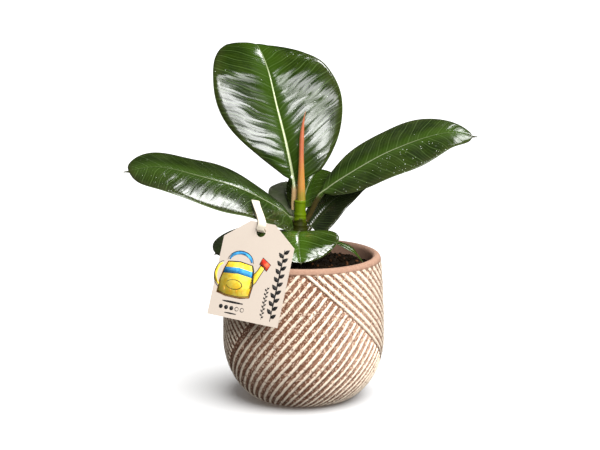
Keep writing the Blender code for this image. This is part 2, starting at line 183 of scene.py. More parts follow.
# %% Finish recipes
class Finish:
    """A Principled material, with short ways to add nodes that feed it."""

    def __init__(self, name, **sockets):
        self.material = bpy.data.materials.new(name)
        self.material.use_nodes = True
        self.tree = self.material.node_tree
        self.shader = self.tree.nodes["Principled BSDF"]
        self.finish(**sockets)
        self.place = self.add("TexCoord").outputs["Object"]

    def put(self, value, socket):
        if isinstance(value, bpy.types.NodeSocket):
            self.tree.links.new(value, socket)
        elif isinstance(value, tuple) and len(value) == 3 and socket.type == "RGBA":
            socket.default_value = (*value, 1)
        else:
            socket.default_value = value

    def add(self, kind, inputs=None, **settings):
        node = self.tree.nodes.new("ShaderNode" + kind)
        for name, value in settings.items():
            setattr(node, name, value)
        for name, value in (inputs or {}).items():
            self.put(value, node.inputs[name])
        return node

    def noise(self, size_mm, detail=3.0, at=None):
        """Cloudy values from 0 to 1, with features of about this size."""
        return self.add("TexNoise", {"Vector": at or self.place, "Scale": 1 / (size_mm * MM),
                                               "Detail": detail, "Roughness": 0.55}).outputs["Fac"]

    def calc(self, operation, a, b=0.0):
        return self.add("Math", {0: a, 1: b}, operation=operation).outputs[0]

    def times(self, a, b):
        return self.calc("MULTIPLY", a, b)

    def ragged(self, value, size_mm, detail, amount):
        """The value, pushed up and down by cloudy noise."""
        push = self.calc("SUBTRACT", self.noise(size_mm, detail), 0.5)
        return self.calc("ADD", value, self.times(push, amount))

    def off_middle(self, value):
        """How far the value is from the middle between two whole numbers, from 0 to a half."""
        return self.calc("ABSOLUTE", self.calc("SUBTRACT", self.calc("FRACT", value), 0.5))

    def step(self, value, low, high, from_value=0.0, to_value=1.0):
        """Eases from one value to another as the input goes from low to high."""
        return self.add("MapRange", {"Value": value, "From Min": low, "From Max": high,
                                               "To Min": from_value, "To Max": to_value},
                        interpolation_type="SMOOTHSTEP").outputs["Result"]

    def mix(self, share, a, b):
        node = self.add("Mix", data_type="RGBA")
        self.put(share, node.inputs[0])
        self.put(a, node.inputs[6])
        self.put(b, node.inputs[7])
        return node.outputs[2]

    def layers(self, colour, *coats):
        """The colour under coats of other colours, each given as a share and a colour."""
        for share, coat in coats:
            colour = self.mix(share, colour, coat)
        return colour

    def reading(self, attribute):
        return self.add("Attribute", attribute_name=attribute).outputs["Fac"]

    def bump(self, height, depth_mm, strength=1.0, under=None):
        inputs = {"Height": height, "Distance": depth_mm * MM, "Strength": strength}
        if under is not None:
            inputs["Normal"] = under
        return self.add("Bump", inputs).outputs["Normal"]

    def finish(self, **sockets):
        """Sets or links sockets of the shader, and gives the material."""
        for socket, value in sockets.items():
            self.put(value, self.shader.inputs[socket.replace("_", " ")])
        return self.material


def toned(colour, amount):
    """The colour, made darker or lighter by one factor."""
    return tuple(c * amount for c in colour)


floor_paint = Finish("floor_paint", Base_Color=(0.95, 0.95, 0.95), Roughness=0.9, Specular_IOR_Level=0.1)
grain = floor_paint.noise(2.0, 2)
floor.data.materials.append(floor_paint.finish(Normal=floor_paint.bump(grain, 0.02)))
print("made", floor_paint.material.name)

# %% [markdown]
# ## Tools for the shapes
# Most pieces are skins over a stack of rings: each ring is a closed loop of points, and neighbouring rings
# are joined by four-sided faces. The faces are turned outwards by the sign of the volume they enclose.

# %% Skins over rings
def turned_out(points, faces):
    """The faces, all reversed if they enclose a negative volume."""
    threes = [f[:3] for f in faces if len(f) <= 4] + [(f[0], f[2], f[3]) for f in faces if len(f) == 4]
    a, b, c = points[np.array(threes)].transpose(1, 0, 2)
    volume = (a * np.cross(b, c)).sum()
    return faces if volume > 0 else [f[::-1] for f in faces]


def skin(rings, closed=False):
    """Points and faces of a skin over rings of equally many points."""
    rings = np.asarray(rings, float)
    rows, count = rings.shape[:2]
    points = rings.reshape(-1, 3)
    faces = []
    for r in range(rows if closed else rows - 1):
        near, far = r * count, (r + 1) % rows * count
        for i in range(count):
            j = (i + 1) % count
            faces.append((near + i, near + j, far + j, far + i))
    if not closed:
        faces.append(tuple(range(count)))
        faces.append(tuple(range((rows - 1) * count, rows * count)))
    return points, faces


def make_piece(name, points, faces, finishes, slot, stands_for=(), which=None, readings=None):
    """An object in the row frame, from points in millimetres, hung on the one body."""
    mesh = bpy.data.meshes.new(name)
    points = np.asarray(points, float)
    mesh.from_pydata((points * MM).tolist(), [], turned_out(points, faces))
    mesh.shade_smooth()
    for finish in finishes:
        mesh.materials.append(finish)
    if which is not None:
        mesh.polygons.foreach_set("material_index", which)
    for attribute, values in (readings or {}).items():
        made = mesh.attributes.new(attribute, "FLOAT", "POINT")
        made.data.foreach_set("value", np.asarray(values, np.float32).ravel())
    piece = bpy.data.objects.new(name, mesh)
    scene.collection.objects.link(piece)
    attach(piece, "root")
    if stands_for:
        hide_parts(*stands_for)
    print(f"{name}: {len(mesh.polygons)} faces")
    return piece


def around_axis(radius, turn, height, x=0.0):
    """Rings of points round an upright axis."""
    x = x + radius * np.cos(turn)
    return np.stack([x, radius * np.sin(turn), np.broadcast_to(height, x.shape)], -1)


def full_turn(count):
    return np.linspace(0, 2 * math.pi, count, endpoint=False)


def ease(value, low, high):
    """0 below low, 1 above high, and a smooth step between, for numpy arrays."""
    t = np.clip((value - low) / (high - low), 0, 1)
    return t * t * (3 - 2 * t)


def cloud(x, y, z=0.0):
    """Smooth noise between about -1 and 1 at each of many places."""
    x, y, z = np.broadcast_arrays(x, y, z)
    flat = [noise.noise(Vector(p)) for p in zip(x.ravel(), y.ravel(), z.ravel())]
    return np.array(flat).reshape(x.shape)


# %% [markdown]
# ## The pot
# The pot is one piece of unglazed clay. Its ridges are two sets of slanting lines that meet in long
# triangles, like a herringbone with only two blades to a turn. Both sets are real geometry: the place along
# the rim and the distance below it decide which set a point belongs to and how near it is to a crest.

# %% Pot outline
POT_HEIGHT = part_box("pot")[1].z / MM
POT_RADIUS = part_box("pot")[1].x / MM
POT_BELLY_HEIGHT = 33.0
POT_RIM_RADIUS = 42.7
POT_FOOT_RADIUS = 23.5
POT_WALL = 4.6
POT_FLOOR = 6.0
POT_HEEL_POWER = 1.82


def pot_outside(height):
    """Radius of the outside: a rounded heel up to the belly, then slightly closing to the rim."""
    up = np.clip((height - POT_BELLY_HEIGHT) / (POT_HEIGHT - POT_BELLY_HEIGHT), 0, 1)
    down = np.clip((POT_BELLY_HEIGHT - height) / POT_BELLY_HEIGHT, 0, 1)
    heel = (1 - down ** POT_HEEL_POWER) ** (1 / POT_HEEL_POWER)
    body = POT_FOOT_RADIUS + (POT_RADIUS - POT_FOOT_RADIUS) * heel
    return np.where(height > POT_BELLY_HEIGHT, POT_RADIUS - (POT_RADIUS - POT_RIM_RADIUS) * up ** 2, body)


def pot_inside(height):
    """Radius of the inside: the outside less the wall, with a rounded corner at the floor."""
    above = np.clip((height - POT_FLOOR) / (POT_BELLY_HEIGHT - POT_FLOOR), 0, 1)
    full = pot_outside(np.maximum(height, POT_BELLY_HEIGHT)) - POT_WALL
    foot = POT_FOOT_RADIUS - POT_WALL / 2
    return foot + (full - foot) * (1 - (1 - above) ** 2) ** 0.5


def evenly(radius, height, count):
    """The outline sampled at equal steps along its length, with the distance run at each."""
    run = np.concatenate([[0], np.cumsum(np.hypot(np.diff(radius), np.diff(height)))])
    at = np.linspace(0, run[-1], count)
    return np.interp(at, run, radius), np.interp(at, run, height), at


# %% Ridge pattern
RIDGES_ROUND = 54            # along the rim, of either set
FALL_RIGHT = math.tan(math.radians(41.5))
FALL_LEFT = math.tan(math.radians(49.5))
RIDGE_DEPTH = 0.95
FRONT = math.radians(-92)    # where the upper tip of one triangle is
LEFT_START = 5.0             # how far to the left of that tip the left side starts


def ridges(turn, below):
    """Height, 0 in the grooves and 1 on the crests, at angles round the pot and distances below the rim."""
    half_turn = math.pi * POT_RADIUS
    around = (turn - FRONT) * POT_RADIUS % half_turn
    pitch = 2 * math.pi * POT_RADIUS / RIDGES_ROUND
    wobble = 0.05 * cloud(around / 6, below / 6) + 0.03 * cloud(around / 1.7, below / 1.7)
    inside = np.minimum(around * FALL_RIGHT, (half_turn - LEFT_START - around) * FALL_LEFT) - below
    falling = (around - below / FALL_RIGHT) / pitch + wobble
    rising = (around + below / FALL_LEFT) / pitch + wobble
    broad = (0.5 + 0.5 * np.cos(2 * math.pi * (falling - 0.3))) ** 0.9 * ease(inside, 0.0, 0.5)
    narrow = (0.5 + 0.5 * np.cos(2 * math.pi * rising)) ** 1.7 * ease(-inside, 0.5, 1.8)
    return np.where(inside > 0, broad, narrow)


# %% Pot mesh
AROUND = 640
RIM_BAND = 0.6               # smooth clay above the ridges
START_BELOW_RIM = 1.0        # from the top of the rim to where the outline starts
AXIS_HOLE = 2.0              # the innermost rings, closed by one face

half_wall = POT_WALL / 2
rim_height = POT_HEIGHT - half_wall
heights = np.linspace(rim_height, 0, 500)
radius, height, below = (part[:, None] for part in evenly(pot_outside(heights), heights, 200))
turn = full_turn(AROUND)
fade = ease(below, RIM_BAND - 0.6, RIM_BAND + 0.5) * (1 - ease(below, below[-1] - 3, below[-1] - 0.5))
crest = ridges(turn, below + START_BELOW_RIM) * fade
sink = RIDGE_DEPTH * (1 - crest) * (0.35 + 0.65 * fade) - 0.12 * cloud(turn * 3, height / 16) * fade
sink *= ease(height, 0.0, 2.5) * ease(below, -1, 2)
slope = np.arctan2(-np.gradient(radius, axis=0), -np.gradient(height, axis=0))
out = radius - sink * np.cos(slope)
up = height + sink * np.sin(slope)

over_the_rim = np.radians(np.linspace(0, 180, 16)[1:])
rim_middle = pot_outside(np.array(POT_HEIGHT)) - half_wall
rim = [(rim_middle + half_wall * math.cos(a), rim_height + half_wall * math.sin(a)) for a in over_the_rim]
inside_heights = np.concatenate([np.linspace(rim_height, POT_BELLY_HEIGHT, 16)[1:],
                                 np.linspace(POT_BELLY_HEIGHT, POT_FLOOR, 14)[1:]])
inner = rim + [(float(pot_inside(np.array(h))), h) for h in inside_heights] + [(AXIS_HOLE, POT_FLOOR)]
inner_r, inner_h = (np.repeat(np.array(part)[:, None], AROUND, 1) for part in zip(*inner))
all_r = np.concatenate([np.full((1, AROUND), AXIS_HOLE), out[::-1], inner_r])
all_h = np.concatenate([np.zeros((1, AROUND)), up[::-1], inner_h])
pot_rings = around_axis(all_r, turn, all_h)
crest_reading = np.zeros(all_r.shape)
crest_reading[1:1 + len(out)] = crest[::-1]
ridged_reading = np.zeros(all_r.shape)
ridged_reading[1:1 + len(out)] = fade[::-1]
print("pot:", len(pot_rings), "rings of", AROUND, "points")

# %% [markdown]
# The clay is a pinkish brown with coarse sand in it. A cream wash was wiped over it and stayed on the
# crests, so the wash follows the ridge height with a ragged edge.

# %% Pot finish
def clay_finish():
    clay = Finish("ridged_clay", Roughness=0.86, Specular_IOR_Level=0.2)
    across = clay.add("SeparateXYZ", {"Vector": clay.place}).outputs["X"]
    # Paler clay in cloudy patches of dust, plus painted light: the right-hand side, where the lamps fall, is
    # made paler.
    dust_and_painted_light = clay.calc("ADD", clay.times(clay.noise(20, 3), 0.4), clay.step(across, 0.0, 0.045, 0.0, 0.45))
    body = clay.layers(clay.mix(clay.noise(9, 3), (0.15, 0.062, 0.032), (0.25, 0.12, 0.07)),
                       (clay.step(dust_and_painted_light, 0.1, 0.65, 0.0, 0.5), (0.62, 0.44, 0.33)),
                       (clay.step(clay.noise(0.7, 3), 0.48, 0.58, 0.0, 0.85), (0.09, 0.032, 0.016)),
                       (clay.step(clay.noise(1.0, 2), 0.55, 0.63, 0.0, 0.85), (0.66, 0.48, 0.36)))
    bare = clay.mix(clay.noise(1.2, 4), (0.23, 0.12, 0.078), (0.39, 0.25, 0.18))
    body = clay.mix(clay.reading("ridged"), bare, body)
    wash = clay.step(clay.ragged(clay.reading("crest"), 0.9, 4, 1.05), 0.42, 0.62)
    worn = clay.step(clay.noise(1.8, 5), 0.34, 0.48, 0.25, 1.0)
    wash = clay.times(clay.times(wash, worn), clay.reading("ridged"))
    cream = clay.mix(clay.noise(3, 3), (0.7, 0.57, 0.44), (0.86, 0.76, 0.62))
    colour = clay.mix(wash, body, cream)
    gritty = clay.bump(clay.noise(0.7, 4), 0.3, 0.9)
    lumpy = clay.bump(clay.noise(1.6, 3), 0.25, 0.6, under=gritty)
    return clay.finish(Base_Color=colour, Normal=lumpy)


pot = make_piece("ridged_pot", *skin(pot_rings), [clay_finish()], "pot", ["pot"],
                 readings={"crest": crest_reading, "ridged": ridged_reading})
pot_only = bpy.data.collections.new("pot_only")
pot_only.objects.link(pot)
floor_sun.light_linking.blocker_collection = pot_only

# %% [markdown]
# ## Soil
# The CAD plug stays as the soil's body. A lumpy sheet lies on it, and then a few hundred separate bits of
# peat and bark, each a roughened ball of its own size and tone.

# %% Soil surface
SOIL_DEPTH = 8.5             # below the rim, at the wall
SOIL_MOUND = 4.5             # the middle above the edge
SOIL_GAP = 0.35              # to the pot's wall
SHEET_LIFT = 0.9             # the lumpy sheet above the plug
SKIRT_DEPTH = 3              # the sheet's rim goes this far down
soil_reach = float(pot_inside(np.array(POT_HEIGHT - SOIL_DEPTH))) - SOIL_GAP


def soil_level(x, y):
    share = np.hypot(x, y) / soil_reach
    lumps = 0.9 * cloud(x / 5, y / 5) + 0.6 * cloud(x / 2.2, y / 2.2, 7.0) + 0.35 * cloud(x, y, 3.0)
    return POT_HEIGHT - SOIL_DEPTH + SOIL_MOUND * (1 - share ** 2) + SHEET_LIFT + lumps


hoops = np.linspace(soil_reach, 1.0, 64)
top = around_axis(hoops[:, None], full_turn(180), 0.0)
top[..., 2] = soil_level(top[..., 0], top[..., 1])
skirt = top[:1].copy()
skirt[..., 2] = POT_HEIGHT - SOIL_DEPTH - SKIRT_DEPTH
soil_points, soil_faces = skin(np.concatenate([skirt, top]))
soil_tone = 0.3 + 0.2 * cloud(soil_points[:, 0] / 3, soil_points[:, 1] / 3)
print("soil sheet:", round(2 * soil_reach, 1), "mm across")

# %% Soil crumbs
CRUMBS = 620
random = np.random.default_rng(11)


def rough_ball():
    """A small ball of the ico kind, as points on the unit sphere and faces."""
    bm = bmesh.new()
    bmesh.ops.create_icosphere(bm, subdivisions=2, radius=1)
    points = np.array([v.co for v in bm.verts])
    faces = [tuple(v.index for v in f.verts) for f in bm.faces]
    bm.free()
    return points, faces


ball, ball_faces = rough_ball()
crumb_points, crumb_faces, crumb_tone = [], [], []
for k in range(CRUMBS):
    distance = soil_reach * 0.95 * math.sqrt(random.uniform(0.01, 1))
    angle = random.uniform(0, 2 * math.pi)
    size = random.uniform(0.35, 1.0) if k % 14 else random.uniform(1.1, 2.2)
    shape = ball * (1 + 0.35 * cloud(*(ball * 1.3 + k * 3.7).T)[:, None]) * size
    shape = shape * random.uniform(0.55, 1.2, 3)
    turned = np.array(Matrix.Rotation(random.uniform(0, 6), 3, random.normal(size=3)))
    place_x, place_y = distance * math.cos(angle), distance * math.sin(angle)
    lift = soil_level(np.array(place_x), np.array(place_y)) + 0.25 * size
    start = sum(len(p) for p in crumb_points)
    crumb_points.append(shape @ turned.T + [place_x, place_y, float(lift)])
    crumb_faces += [tuple(start + i for i in f) for f in ball_faces]
    crumb_tone.append(np.full(len(ball), random.uniform(0.1, 0.6) if k % 8 else random.uniform(0.65, 1)))


def soil_finish():
    soil = Finish("potting_soil", Roughness=0.95, Specular_IOR_Level=0.08)
    tone = soil.reading("tone")
    dark = soil.mix(soil.noise(1.2, 4), (0.003, 0.002, 0.001), (0.012, 0.007, 0.003))
    bark = soil.mix(soil.noise(0.8, 4), (0.03, 0.012, 0.005), (0.1, 0.04, 0.016))
    colour = soil.mix(soil.step(tone, 0.55, 0.85), dark, bark)
    return soil.finish(Base_Color=colour, Normal=soil.bump(soil.noise(0.6, 5), 0.4))


soil_look = soil_finish()
make_piece("soil_top", soil_points, soil_faces, [soil_look], "soil", readings={"tone": soil_tone})
make_piece("soil_crumbs", np.concatenate(crumb_points), crumb_faces, [soil_look], "soil",
           readings={"tone": np.concatenate(crumb_tone)})
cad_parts["soil"].data.materials.clear()
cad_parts["soil"].data.materials.append(soil_look)

# %% [markdown]
# ## Stem
# Where a leaf or its sheath once sat, a ring is left round the stem. The young top is bright green, and the
# bark turns olive and then brown towards the soil.

# %% Stem shape
STEM_X = middle("stem").x / MM
STEM_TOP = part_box("stem")[1].z / MM
STEM_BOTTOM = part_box("stem")[0].z / MM
STEM_RADIUS = 3.0
STEM_FOOT_RADIUS = 4.3
KNOT_HEIGHT = 94.0           # where the stalks leave, the stem is thicker
KNOT_SWELL = 1.0
KNOT_LENGTH = 5.0
SCARS = [84.5, 87.5, 92.0, 94.8, 97.3, 100.4, 103.2, 110.2]
SCAR_BULGE = 0.32


def stem_radius(height):
    return STEM_RADIUS + (STEM_FOOT_RADIUS - STEM_RADIUS) * (STEM_TOP - height) / (STEM_TOP - STEM_BOTTOM)


heights = np.linspace(STEM_BOTTOM, STEM_TOP, 150)
around = full_turn(36)
girth = (stem_radius(heights) + KNOT_SWELL * np.exp(-((heights - KNOT_HEIGHT) / KNOT_LENGTH) ** 2))[:, None]
for scar in SCARS:
    tilt = 0.3 * np.cos(around - scar)
    girth = girth + SCAR_BULGE * np.exp(-((heights[:, None] - scar - tilt) / 0.5) ** 2)
girth = girth + 0.12 * cloud(around * 1.5, heights[:, None] / 5)
stem_rings = around_axis(girth, around, heights[:, None], STEM_X)
print("stem:", len(SCARS), "leaf scars")


# %% Stem finish
def stem_finish():
    bark = Finish("green_bark", Roughness=0.55, Specular_IOR_Level=0.12)
    up = bark.add("SeparateXYZ", {"Vector": bark.place}).outputs["Z"]
    level = bark.ragged(up, 4, 3, 0.012)
    low = bark.mix(bark.noise(1.2, 4), (0.007, 0.005, 0.001), (0.02, 0.014, 0.002))
    olive = bark.mix(bark.noise(1.5, 4), (0.008, 0.01, 0.001), (0.026, 0.03, 0.001))
    young = bark.mix(bark.noise(2.5, 3), (0.055, 0.1, 0.0), (0.11, 0.165, 0.001))
    colour = bark.layers(low, (bark.step(level, 0.084, 0.094), olive),
                         (bark.step(level, 0.099, 0.1025), young))
    fibres = bark.add("Mapping", {"Vector": bark.place, "Scale": (1, 1, 0.15)}).outputs[0]
    return bark.finish(Base_Color=colour, Normal=bark.bump(bark.noise(0.5, 3, at=fibres), 0.1, 0.6))


make_piece("stem_bark", *skin(stem_rings), [stem_finish()], "stem", ["stem"])

# %% [markdown]
# ## Bud sheath
# The next leaf is still rolled up in its sheath, a long coral-red horn that turns orange and green at the
# foot. One edge overlaps the other in a fine seam that winds up the horn.

# %% Bud sheath
sheath_low, sheath_high = (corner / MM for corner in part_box("bud_sheath"))
SHEATH_RADIUS = 2.15
SHEATH_OFFSET = 0.7
SHEATH_LEAN = 2.4
SHEATH_OVER_STEM = 0.5       # its foot hides the stem's end
SEAM_START = 1.1             # radians
SEAM_WIND = 2.4
SEAM_STEP = 0.09             # share of the radius
share = np.linspace(0, 1, 110)
width = SHEATH_RADIUS * (1.03 - 0.38 * ease(share, 0.0, 0.55) - 0.5 * ease(share, 0.66, 1.05) - 0.1 * share)
width = np.maximum(width, 0.12)
seam = around - SEAM_START - SEAM_WIND * share[:, None]
fold = SEAM_STEP * np.exp(-(((seam + math.pi) % (2 * math.pi) - math.pi) / 0.16) ** 2)
thick = width[:, None] * (1 + fold + 0.04 * np.cos(2 * around))
middle_x = STEM_X + SHEATH_OFFSET + SHEATH_LEAN * share ** 6
sheath_foot = sheath_low.z - SHEATH_OVER_STEM
sheath_height = sheath_foot + (sheath_high.z - sheath_foot) * share
sheath_rings = around_axis(thick, around, sheath_height[:, None], middle_x[:, None])
print("sheath:", round(sheath_high.z - sheath_foot, 1), "mm long")


def sheath_finish():
    sheath = Finish("red_sheath", Roughness=0.36, Coat_Weight=0.2, Subsurface_Weight=0.12,
                    Subsurface_Scale=0.002)
    wander = sheath.ragged(sheath.reading("up"), 3, 3, 0.16)
    streak = sheath.add("Mapping", {"Vector": sheath.place, "Scale": (1, 1, 0.06)}).outputs[0]
    lines = sheath.noise(0.5, 3, at=streak)
    foot, orange, red, tip = (sheath.mix(lines, *pair) for pair in (
        ((0.14, 0.14, 0.012), (0.32, 0.22, 0.03)), ((0.33, 0.12, 0.02), (0.5, 0.26, 0.06)),
        ((0.34, 0.075, 0.03), (0.52, 0.18, 0.085)), ((0.26, 0.09, 0.04), (0.42, 0.22, 0.12))))
    colour = sheath.layers(foot, (sheath.step(wander, 0.03, 0.2), orange),
                           (sheath.step(wander, 0.25, 0.6), red), (sheath.step(wander, 0.88, 1.0), tip),
                           (sheath.step(sheath.reading("seam"), 0.2, 0.9), (0.55, 0.36, 0.12)))
    return sheath.finish(Base_Color=colour, Normal=sheath.bump(lines, 0.15, 0.5))


make_piece("rolled_sheath", *skin(sheath_rings), [sheath_finish()], "sheath", ["bud_sheath"],
           readings={"up": np.repeat(share[:, None], len(around), 1), "seam": fold / SEAM_STEP})

# %% [markdown]
# ## Leaves
# A leaf is a stalk that opens into a blade. Its midrib follows a smooth curve, the two halves rise from it
# at an angle, and the outline is a power of a sine, the blunt oval of a fig leaf with a little drip tip. The
# numbers are the CAD model's, but for a few stalk lengths and base shapes. New here are the veins, a sunken
# midrib above and a round one below, a margin that rolls under, a slow wave along each edge, lobes at the
# foot and a tip that flattens out.
#
# In the table, foot is the height above the rim and the direction of the stalk's start. Path holds the
# midrib's points, with heights above the rim, and faces is the way the upper side looks, at the base and at
# the tip if they differ. A pair in an outline, fold, curl or lobe is for the left and the right half.

# %% Leaf table
PETIOLE_RADIUS = 1.6
DRIP_TIP_SHARE = 0.03
DRIP_TIP_WIDTH = 1.6
USUAL_OUTLINE = {"widest": 0.5, "tip": 0.45, "base": 0.6}

LEAVES = {
    "leaf_top": dict(
        foot=(26.5, 135), petiole=10, width=70, faces=((0, -1, 0.3), (0.33, -0.6, 1)),
        path=[(-5.5, 4.2, 39), (-9.3, 7, 59), (-15, 14, 81), (-20, 23, 100), (-26, 38, 111.5),
              (-30, 54, 110)],
        widest=(0.57, 0.47), tip=(0.5, 0.72), base=(0.9, 0.62), fold=(8, 13), flat_tip=1, curl=(-14, -15),
        skew=0.05, wave=0.7, deep=0.85, rib=1.0, stalk=((0.36, 0.19, 0.07), (0.62, 0.46, 0.25))),
    "leaf_left": dict(
        foot=(19.5, 190), petiole=0.3, width=55, faces=(0, -0.33, 1),
        path=[(-14, -4, 26.5), (-34, -10, 38), (-56, -16, 46), (-78, -22, 52), (-96, -27, 50)],
        widest=0.55, tip=0.38, base=(0.36, 0.5), flare=0.02, lobe=(0.5, 0), fold=-2, curl=-8, wave=0.6,
        painted_sheen=0.05, deep=0.8, specks=0.3, speck_side=-1),
    "leaf_right": dict(
        foot=(20.5, 0), petiole=13, width=47, faces=(0, -0.4, 1),
        path=[(10, 0, 33.5), (24, 0, 44), (48, 0, 57.5), (76, 0, 67), (95, 0, 65)],
        widest=0.54, tip=0.52, fold=2, curl=-8, wave=0.6, painted_sheen=0.06, deep=0.85, specks=0.4, gloss=0.12),
    "leaf_lower_right": dict(
        foot=(13, 20), petiole=1.5, width=20, faces=((0, -0.9, 1), (0, -0.3, 1)),
        path=[(8, 4, 20), (17, 8, 29), (28, 12, 35), (38, 15, 37.5)],
        widest=0.36, base=(0.5, 0.28), flare=0.04, lobe=(0, 0.4), fold=6, curl=-6, skew=0.1, deep=0.35,
        rib=0.12, painted_sheen=0.08),
    "leaf_back_left": dict(
        foot=(16, 125), petiole=5, width=22, faces=((0, -0.4, 1), (0, -0.2, 1)),
        path=[(-7.5, 11, 23), (-9, 22, 30), (-10, 38, 34)], fold=6, curl=-6, painted_sheen=0.75),
    "leaf_back_right": dict(
        foot=(19, 75), petiole=5, width=25, base=0.35, faces=((-0.1, -0.5, 1), (0, -0.3, 1)),
        path=[(1, 13, 31), (5, 25, 38.5), (9, 40, 41)], fold=6, curl=-6),
    "leaf_front": dict(
        foot=(11, 270), petiole=3, width=44, faces=(0, -0.3, 1),
        path=[(-2.5, -10, 14), (-3, -19, 14.5), (-2.5, -29, 9.5), (-1.5, -36, 1.5)],
        widest=0.54, tip=(0.45, 0.62), fold=8, curl=-8, wave=0.4, specks=0.3, rib=0.25, gloss=1.0, deep=1.3),
    "leaf_small_right": dict(
        foot=(3, 330), petiole=5, width=8, faces=(0, 0.05, 1),
        path=[(10, -8, 7.5), (18, -11, 8.5), (26.3, -14.6, 5), (32.5, -16.5, -1.5)], fold=2, curl=-4),
    "leaf_low_left": dict(
        foot=(6, 190), petiole=6, width=26, faces=(0, -0.35, 1),
        path=[(-16, -3, 10.5), (-30, -5, 10), (-42, -8, 6), (-49, -11, 1.5)],
        widest=0.6, fold=3, curl=-8, painted_sheen=0.35),
}
print("leaves:", *LEAVES)



# %% Leaf midline
STALK_GAP = 0.3              # from the stem's side to the stalk
STALK_IN_STEM = 2.6


def curve_point(points, share):
    """A point on the smooth curve through the points, at a share of the way by point count."""
    place = share * (len(points) - 1)
    i = min(int(place), len(points) - 2)
    f = place - i
    p1, p2 = points[i], points[i + 1]
    p0 = points[i - 1] if i > 0 else 2 * p1 - p2
    p3 = points[i + 2] if i + 2 < len(points) else 2 * p2 - p1
    return 0.5 * (2 * p1 + (p2 - p0) * f + (2 * p0 - 5 * p1 + 4 * p2 - p3) * f ** 2
                  + (3 * p1 - p0 - 3 * p2 + p3) * f ** 3)


def midline(leaf):
    """Many points along the leaf's middle, from inside the stem's bark to the tip."""
    path = [np.array((x, y, POT_HEIGHT + z)) for x, y, z in leaf["path"]]
    height, degrees = leaf["foot"]
    outward = np.array((math.cos(math.radians(degrees)), math.sin(math.radians(degrees)), 0))
    axis = np.array((STEM_X, 0, POT_HEIGHT + height))
    foot = axis + stem_radius(axis[2]) * outward
    stalk = (path[0] - foot) / np.linalg.norm(path[0] - foot)
    foot = foot + (STALK_GAP + PETIOLE_RADIUS * np.linalg.norm(np.cross(stalk, outward))) * outward
    line = [curve_point([foot] + path, k / 400) for k in range(401)]
    return np.array([foot - STALK_IN_STEM * stalk] + line)


def unit(vectors):
    return vectors / np.linalg.norm(vectors, axis=-1, keepdims=True)


def travelled(line):
    """The distance run along a line, at each of its points."""
    return np.concatenate([[0], np.cumsum(np.linalg.norm(np.diff(line, axis=0), axis=1))])


def along(line, distances):
    """Places and smoothed directions at distances along a line of points."""
    run = travelled(line)

    def place(at):
        return np.stack([np.interp(at, run, line[:, k]) for k in range(3)], -1)

    reach = run[-1] * 0.02
    return place(distances), unit(place(distances + reach) - place(distances - reach))


# %% Leaf surface
FULL_WIDTH = 60.0            # a leaf this wide has the relief below, and smaller ones have less
VEIN_SLANT = 0.55            # how far a side vein runs on, for its way out
PILLOW = 0.2                 # the skin's rise between the side veins
SWELL = 0.3
ROLL = 0.5                   # the margin's bend downwards
GROOVE = 0.3                 # the midrib's depth above
RIB = 0.9                    # and its height below
EDGE_THICKNESS = 0.32
MORE_INSIDE = 0.34


def half_width(v, widest, tip, base):
    """Share of the greatest half width at v, from 0 at the blade's base to 1 at its tip."""
    body = np.clip(v / (1 - DRIP_TIP_SHARE), 0, 1)
    power = math.log(0.5) / math.log(widest)
    roundness = base + (tip - base) * np.clip(v, 0, 1)
    return np.sin(np.clip(math.pi * body ** power, 0, math.pi)).clip(0) ** roundness


def both(value):
    """A value for the left half and one for the right half."""
    return value if isinstance(value, tuple) else (value, value)


